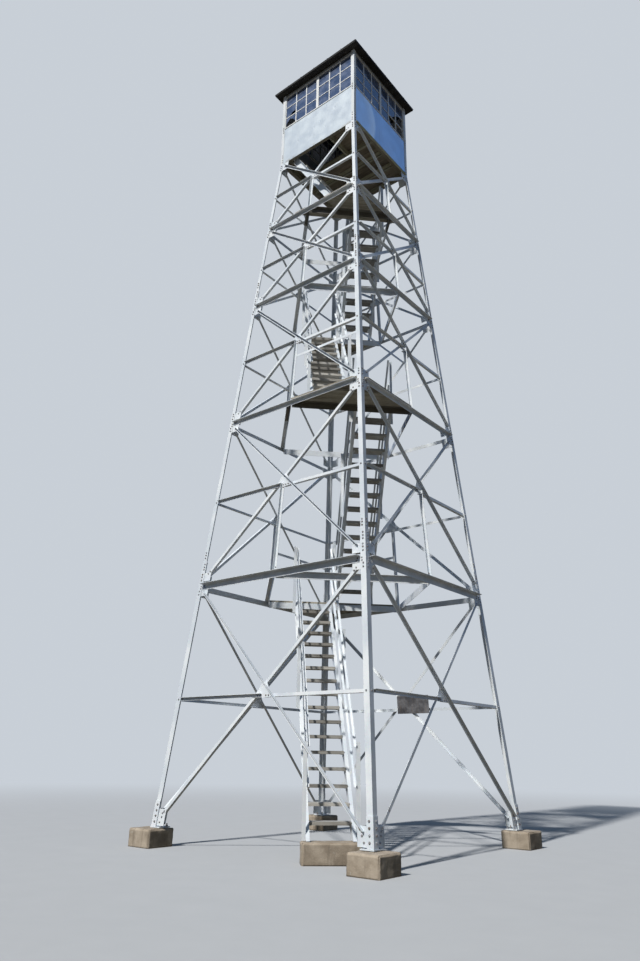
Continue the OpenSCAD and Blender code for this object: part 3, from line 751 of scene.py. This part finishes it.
def girt_bolts(shape, k, hand):
    """Two bolts at each end of the girts beside one leg, the lower one further in."""
    for level in LEVELS[1:PANELS]:
        depth = DEEP_GIRT_B if level == LEVELS[1] else GIRT_B
        for part in (0.3, 0.7):
            z = level - PLATE_T - part * (depth - 0.010)
            inset = 0.045 + 0.05 * part
            side_bolt(shape, k, hand * (half_at(z) - leg_size(z) - inset), z, ON_GIRT, SMALL_SIZE)


def middle_bolts(shape, k, i):
    """Bolts of one panel at its crossing, on its struts and on its hanger."""
    side_bolt(shape, k, 0.0, crossing(i), ON_BRACE, SMALL_SIZE)
    z = strut_z(i)
    for step in STRUT_STEPS:
        side_bolt(shape, k, step, z, ON_PLATE, STRUT_SIZE)
        side_bolt(shape, k, -step - 0.010, z, ON_BRACE, STRUT_SIZE)
    if i > 0:
        for height in (z, z - 0.052, LEVELS[i] + 0.030, LEVELS[i] + 0.075):
            side_bolt(shape, k, 0.004, height, ON_BRACE, STRUT_SIZE)
    side_bolt(shape, k, -(half_at(z) - leg_size(z) - STRUT_LEG_STEP), z, ON_BRACE, STRUT_SIZE)


def make_bolts():
    shape = Shape()
    for k in range(4):
        for hand in (-1, 1):
            leg_bolts(shape, k, hand)
            foot_bolts(shape, k, hand)
            diagonal_bolts(shape, k, hand)
            girt_bolts(shape, k, hand)
        for i in range(PANELS):
            middle_bolts(shape, k, i)
    for k in range(4):
        for hand in (-1, 1):
            for z in POST_BOLTS:
                place = wall_point(k, hand * (CAB_HALF - POST_BOLT_IN), z, 0.0)
                bolt(shape, place, wall_axes(k), POST_SIZE)
    shape.piece("bolt_heads", BOLT, "galvanised")


# Washer, nut and stud: number of sides, and radius and height of each ring
ANCHOR = (
    (12, ((0.024, -SINK), (0.024, 0.004))),
    (6, ((0.0185, 0.003), (0.0185, 0.019), (0.0150, 0.022))),
    (10, ((0.0098, 0.010), (0.0098, 0.044), (0.0080, 0.047))),
)


def make_anchors():
    """Anchor studs with nuts on the shoe plates."""
    shape = Shape()
    axes = (Vector(TO_RIGHT), Vector(TO_BACK), Vector(UPWARD))
    for k in range(4):
        for x, y in ((-0.170, 0.045), (-0.045, 0.170), (-0.170, 0.170)):
            place = quarter(k) @ Vector((FOOT_HALF + x, -FOOT_HALF + y, PIER_H))
            for sides, rings in ANCHOR:
                shape.turned(sides, rings, place, axes)
    shape.piece("anchor_studs", BOLT, "galvanised")


make_bolts()
make_anchors()

PANE_COLUMNS = 3
PANE_ROWS = 3
UPRIGHT_BAR = 0.026
LEVEL_BAR = 0.018
BAR_DEPTH = 0.026
# How far the level bars lie behind the uprights' faces, on both sides
BAR_STEP = 0.003
PANE_T = 0.003
# How far the panes reach in behind the bars
PANE_LAP = 0.004


def make_window_bars():
    """Upright and level bars between the small panes."""
    shape = Shape()
    depth = FRAME_IN + (FRAME_D + BAR_DEPTH) / 2
    for k in range(4):
        for x0, x1 in OPENINGS:
            for c in range(1, PANE_COLUMNS):
                x = x0 + (x1 - x0) * c / PANE_COLUMNS - UPRIGHT_BAR / 2
                size = (UPRIGHT_BAR, WINDOW_H, BAR_DEPTH)
                shape.box(wall_point(k, x, SILL_Z, depth), size, wall_axes(k))
            for r in range(1, PANE_ROWS):
                z = SILL_Z + WINDOW_H * r / PANE_ROWS - LEVEL_BAR / 2
                size = (x1 - x0, LEVEL_BAR, BAR_DEPTH - 2 * BAR_STEP)
                shape.box(wall_point(k, x0, z, depth - BAR_STEP), size, wall_axes(k))
    shape.piece("window_bars", PAINT, "window_paint")


def make_sill_strips():
    """Strips over the head of the wall sheet and under the eave."""
    shape = Shape()
    gap = 0.0015
    half = CAB_HALF - POST_B - gap
    outline = ((0.0, 0.0), (0.0, 0.018), (0.012, 0.024), (0.015, 0.024), (0.015, 0.0))
    for k in range(4):
        across, up, out = wall_axes(k)
        for z in (SILL_Z - 0.022, SILL_Z + WINDOW_H + 0.004):
            place = wall_point(k, -half, z, FRAME_IN + SINK)
            shape.bar(outline, place, (out, up, across), 2 * half)
    shape.piece("sill_strips", PAINT, "window_paint")


WHOLE_PANE = ((0.0, 0.0), (1.0, 0.0), (1.0, 1.0), (0.0, 1.0))
# What is left of the broken panes, in parts of a pane, by side, opening, column and row
BROKEN = {
    (1, 1, 1, 0): ((0.0, 0.0), (1.0, 0.0), (1.0, 0.18), (0.80, 0.10), (0.55, 0.12), (0.30, 0.30),
                   (0.12, 0.55), (0.0, 0.80)),
    (1, 1, 2, 0): ((0.0, 0.0), (0.45, 0.0), (0.20, 0.10), (0.06, 0.30), (0.0, 0.52)),
    (1, 1, 1, 1): ((0.0, 0.0), (0.30, 0.06), (0.62, 0.20), (0.90, 0.50), (1.0, 0.80), (1.0, 1.0),
                   (0.0, 1.0)),
    (1, 1, 2, 1): ((0.0, 1.0), (0.0, 0.62), (0.15, 0.78), (0.40, 0.90), (0.75, 0.93), (1.0, 1.0)),
    (0, 0, 0, 0): ((0.0, 1.0), (0.0, 0.35), (0.12, 0.62), (0.40, 0.80), (0.70, 0.62), (0.92, 0.30),
                   (1.0, 0.0), (1.0, 1.0)),
    (0, 0, 0, 1): ((0.0, 0.0), (0.35, 0.10), (0.60, 0.30), (1.0, 0.36), (1.0, 1.0), (0.0, 1.0)),
}


def pane_insets(n, count, bar):
    """How far the edges of pane n lie inside its share of the opening, before it and after it."""
    inset = bar / 2 - PANE_LAP
    return inset if n > 0 else 0.0, inset if n < count - 1 else 0.0


def make_panes():
    """Small panes between the bars, some of them broken."""
    shape = Shape()
    height = WINDOW_H / PANE_ROWS
    depth = FRAME_IN + (FRAME_D + PANE_T) / 2
    for k in range(4):
        for o, (x0, x1) in enumerate(OPENINGS):
            width = (x1 - x0) / PANE_COLUMNS
            for c in range(PANE_COLUMNS):
                left, right = pane_insets(c, PANE_COLUMNS, UPRIGHT_BAR)
                for r in range(PANE_ROWS):
                    low, high = pane_insets(r, PANE_ROWS, LEVEL_BAR)
                    outline = [
                        (left + a * (width - left - right), low + b * (height - low - high))
                        for a, b in BROKEN.get((k, o, c, r), WHOLE_PANE)
                    ]
                    place = wall_point(k, x0 + c * width, SILL_Z + r * height, depth)
                    shape.bar(outline, place, wall_axes(k), PANE_T)
    panes = shape.piece("window_panes", GLASS, "window_glass")
    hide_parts("window_glass")


make_window_bars()
make_sill_strips()
make_panes()

# Spacing of the points on the worn concrete
CAST_GRID = 0.022


def rough_block(work, middle, size, seed):
    """Cast block with worn faces and edges, all of it inside its box, its underside on the ground."""
    low = Vector((middle[0] - size[0] / 2, middle[1] - size[1] / 2, 0.0))
    high = Vector((middle[0] + size[0] / 2, middle[1] + size[1] / 2, size[2]))
    reach = high - low
    counts = [max(2, round(length / CAST_GRID)) for length in reach]
    grid = {}

    def vertex(key):
        if key not in grid:
            grid[key] = work.verts.new(Vector([low[a] + reach[a] * key[a] / counts[a] for a in range(3)]))
        return grid[key]

    for axis in range(3):
        b, c = (axis + 1) % 3, (axis + 2) % 3
        for end in (0, counts[axis]):
            for m in range(counts[b]):
                for n in range(counts[c]):
                    corners = []
                    for dm, dn in ((0, 0), (1, 0), (1, 1), (0, 1)):
                        key = [0, 0, 0]
                        key[axis], key[b], key[c] = end, m + dm, n + dn
                        corners.append(vertex(tuple(key)))
                    work.faces.new(corners if end else corners[::-1])
    for key, vert in grid.items():
        inward = Vector((0, 0, 0))
        for a in range(3):
            if key[a] == counts[a]:
                inward[a] = -1.0
            elif key[a] == 0 and a < 2:
                inward[a] = 1.0
        faces = sum(1 for part in inward if part)
        if not faces:
            continue
        here = vert.co + Vector((7.1 * seed, 3.3 * seed, 0))
        rough = max(0.0, 0.5 + 0.5 * noise.fractal(here * 6.0, 1.0, 2.0, 5))
        wear = 0.003 + 0.010 * rough + 0.004 * abs(noise.noise(here * 31.0))
        if faces > 1:
            # Edges and corners wear deeper
            wear += 0.008 + 0.016 * rough
        moved = vert.co + wear * inward
        vert.co = Vector([min(max(moved[a], low[a]), high[a]) for a in range(3)])


def make_footings():
    """Piers and stair pad with worn edges, in place of the plain blocks."""
    work = bmesh.new()
    for k in range(4):
        corner = quarter(k) @ Vector((FOOT_HALF, -FOOT_HALF, 0))
        rough_block(work, (corner.x, corner.y), (PIER_W, PIER_W, PIER_H - SHOE_T), k + 1)
    piers = len(work.verts)
    rough_block(work, (FOOT_U, LEFT_V), (PAD_D, PAD_W, PIER_H), 9)
    turn = Matrix.Rotation(-math.pi / 4, 4, "Z")
    for vert in list(work.verts)[piers:]:
        vert.co = turn @ vert.co
    bmesh.ops.recalc_face_normals(work, faces=work.faces)
    mesh = bpy.data.meshes.new("cast_footings")
    work.to_mesh(mesh)
    work.free()
    piece = place_piece("cast_footings", mesh, CONCRETE, smooth=True)
    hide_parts("footings")


make_footings()


def head_u(i):
    """Distance from the axis to the head of the flight up to level i."""
    if i == PANELS - 1:
        edge = half_at(LEVELS[i]) + DECK_OUT + BRACE_B / 2 + CLEAR
        return edge / math.sqrt(2) - TOP_LANDING_EXTRA
    return (half_at(LEVELS[i]) - LEG_T / math.cos(BATTER) - FIT) / math.sqrt(2) + CLEAR


def deck_top(i):
    """Height of a landing's upper face above the legs' feet."""
    return LEVELS[i] + DECK_OUT * math.sin(BATTER) + FIT + PLANK_T


def tread_places():
    """Middle of each tread's underside on the flights up to the landings, as U, V and height."""
    for i in range(1, PANELS):
        # Odd flights rise to the back on the left, even ones to the front on the right
        way, line = (-1, LEFT_V) if i % 2 else (1, RIGHT_V)
        foot = head_u(i - 1) + FOOT_SET if i > 1 else FOOT_U
        low = deck_top(i - 1) if i > 1 else 0.0
        run, climb = foot + head_u(i) - FIT, deck_top(i) - low
        rises = round(climb / TREAD_RISE)
        for j in range(1, rises):
            yield way * (run * j / rises - foot), line, PIER_H + low + climb * j / rises - TREAD_T


# Cleats: small angles under the treads' ends, just clear of tread and stringer
CLEAT_LENGTH = 0.150
CLEAT_B = 0.038
CLEAT_H = 0.042
CLEAT_T = 0.0045
CLEAT_GAP = 0.0005
# Domed bolt head: radius and height of each ring, distance from the tread's end and from its middle
TREAD_BOLT = ((0.0105, -SINK), (0.0098, 0.0022), (0.0062, 0.0042))
TREAD_BOLT_IN = 0.022
TREAD_BOLT_STEP = 0.045


def make_cleats():
    """Small angles under the ends of the treads, with two bolts down through each end."""
    angles, heads = Shape(), Shape()
    along, across, up = Vector(STAIR_ALONG), Vector(STAIR_ACROSS), Vector(UPWARD)
    for u, v, z in tread_places():
        middle = u * along + z * up
        for hand in (-1, 1):
            edge = middle + (v + hand * (TREAD_W / 2 - CLEAT_GAP)) * across
            inward = -hand * across
            corner = edge - CLEAT_LENGTH / 2 * along - CLEAT_GAP * up
            angles.box(corner, (CLEAT_LENGTH, CLEAT_B, -CLEAT_T), (along, inward, up))
            angles.box(corner, (CLEAT_LENGTH, CLEAT_T, -CLEAT_H), (along, inward, up))
            for step in (-TREAD_BOLT_STEP, TREAD_BOLT_STEP):
                place = edge + step * along + TREAD_BOLT_IN * inward + TREAD_T * up
                heads.turned(8, TREAD_BOLT, place, (along, across, up))
    angles.piece("tread_cleats", STEEL, "galvanised")
    heads.piece("tread_bolts", BOLT, "galvanised")


def make_ledgers():
    """Timber ledgers on the feet of the right and the left walls."""
    gap = 0.006
    half = CAB_HALF - POST_B - gap
    outline = ((0.0, 0.0), (0.0, 0.050), (0.012, 0.056), (0.019, 0.056), (0.019, 0.0))
    for k, name, look in ((1, "ledger_right", OLIVE_TIMBER), (3, "ledger_left", CAB_TIMBER)):
        shape = Shape()
        across, up, out = wall_axes(k)
        place = wall_point(k, -half, CAB_FOOT + 0.002, POST_T)
        shape.bar(outline, place, (out, up, across), 2 * half)
        shape.piece(name, look, "cab_timber")


def make_roof_seams():
    """Folded seams down the slopes of the roof."""
    shape = Shape()
    outline = ((-0.009, 0.0), (-0.007, 0.018), (0.007, 0.018), (0.009, 0.0))
    # Sunk into the roof, from just above the eave to just short of the hip
    sunk, start, short = 0.0004, 0.012, 0.075
    eave_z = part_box("roof")[0].z
    for k in range(4):
        across = wall_axes(k)[0]
        climb = quarter(k) @ Vector((0, math.cos(ROOF_PITCH), math.sin(ROOF_PITCH)))
        out = quarter(k) @ Vector((0, -math.sin(ROOF_PITCH), math.cos(ROOF_PITCH)))
        eave = quarter(k) @ Vector((0, -EAVE, eave_z))
        for x in (-0.80, -0.40, 0.0, 0.40, 0.80):
            place = eave + x * across + (ROOF_T - sunk) * out + start * climb
            length = (EAVE - abs(x)) / math.cos(ROOF_PITCH) - short
            shape.bar(outline, place, (across, out, climb), length)
    shape.piece("roof_seams", ROOF, "roof_sheet")


make_cleats()
make_ledgers()
make_roof_seams()

# Stage

BACKGROUND = (0.58, 0.625, 0.68)
# The floor takes on the background's colour between these distances from the tower
FLOOR_FADE = (9.0, 30.0)
FLOOR_REACH = 150.0
# Colour of the floor in all rays but the camera's
GROUND = (0.135, 0.122, 0.10)
# Dim skylight, and the blue of a clear sky that shows in reflections
SKYLIGHT = (0.56, 0.76, 1.0)
SKYLIGHT_STRENGTH = 0.18
REFLECTED_SKY = (0.17, 0.345, 0.76)
SUN_HEIGHT = math.radians(47)
SUN_TOWARDS = Vector((0.02, -math.cos(SUN_HEIGHT), math.sin(SUN_HEIGHT)))
SUN_ENERGY = 4.3
SUN_ANGLE = math.radians(2.5)
SUN_COLOUR = (1.0, 0.975, 0.93)


def pale_floor():
    """To the camera pale and fading into the background further out, and plain ground otherwise."""
    look = Look("pale_floor", roughness=0.95, Specular_IOR_Level=0.1)
    look.paint(look.mix(look.noise(2.0, detail=4), (0.42, 0.435, 0.455), (0.455, 0.47, 0.49)))
    glow = look.feed(look.add("ShaderNodeEmission"), Color=BACKGROUND, Strength=1.0)
    fade = look.ramp(look.vector_math("LENGTH", look.place), *FLOOR_FADE)
    to_camera = look.add("ShaderNodeLightPath").outputs["Is Camera Ray"]
    seen = mix_shaders(look.tree, fade, look.shader.outputs[0], glow.outputs[0])
    ground = look.feed(look.add("ShaderNodeBsdfDiffuse"), Color=GROUND)
    whole = mix_shaders(look.tree, to_camera, ground.outputs[0], seen)
    plug(look.tree, look.tree.nodes["Material Output"].inputs["Surface"], whole)
    return look


def make_floor():
    mesh = bpy.data.meshes.new("floor")
    corners = [(FLOOR_REACH * x, FLOOR_REACH * y, 0.0) for x, y in ((-1, -1), (1, -1), (1, 1), (-1, 1))]
    mesh.from_pydata(corners, [], [(0, 1, 2, 3)])
    mesh.materials.append(pale_floor().material)
    floor = bpy.data.objects.new("floor", mesh)
    scene.collection.objects.link(floor)


def make_world():
    """The background to the camera and through glass, the blue sky in reflections, else skylight."""
    world = bpy.data.worlds.new("world")
    world.use_nodes = True
    tree = world.node_tree
    tree.nodes.clear()

    def light(colour, strength=1.0):
        node = tree.nodes.new("ShaderNodeBackground")
        plug(tree, node.inputs["Color"], colour)
        plug(tree, node.inputs["Strength"], strength)
        return node.outputs[0]

    rays = tree.nodes.new("ShaderNodeLightPath").outputs
    direct = tree.nodes.new("ShaderNodeMath")
    direct.operation = "MAXIMUM"
    plug(tree, direct.inputs[0], rays["Is Camera Ray"])
    plug(tree, direct.inputs[1], rays["Is Transmission Ray"])
    skylight = light(SKYLIGHT, SKYLIGHT_STRENGTH)
    unseen = mix_shaders(tree, rays["Is Glossy Ray"], skylight, light(REFLECTED_SKY))
    surface = mix_shaders(tree, direct.outputs[0], unseen, light(BACKGROUND))
    plug(tree, tree.nodes.new("ShaderNodeOutputWorld").inputs["Surface"], surface)
    scene.world = world


def make_sun():
    data = bpy.data.lights.new("key", "SUN")
    data.energy = SUN_ENERGY
    data.angle = SUN_ANGLE
    data.color = SUN_COLOUR
    sun = bpy.data.objects.new("key", data)
    sun.rotation_euler = SUN_TOWARDS.to_track_quat("Z", "Y").to_euler()
    scene.collection.objects.link(sun)


make_floor()
make_world()
make_sun()
scene.view_settings.view_transform = "Standard"
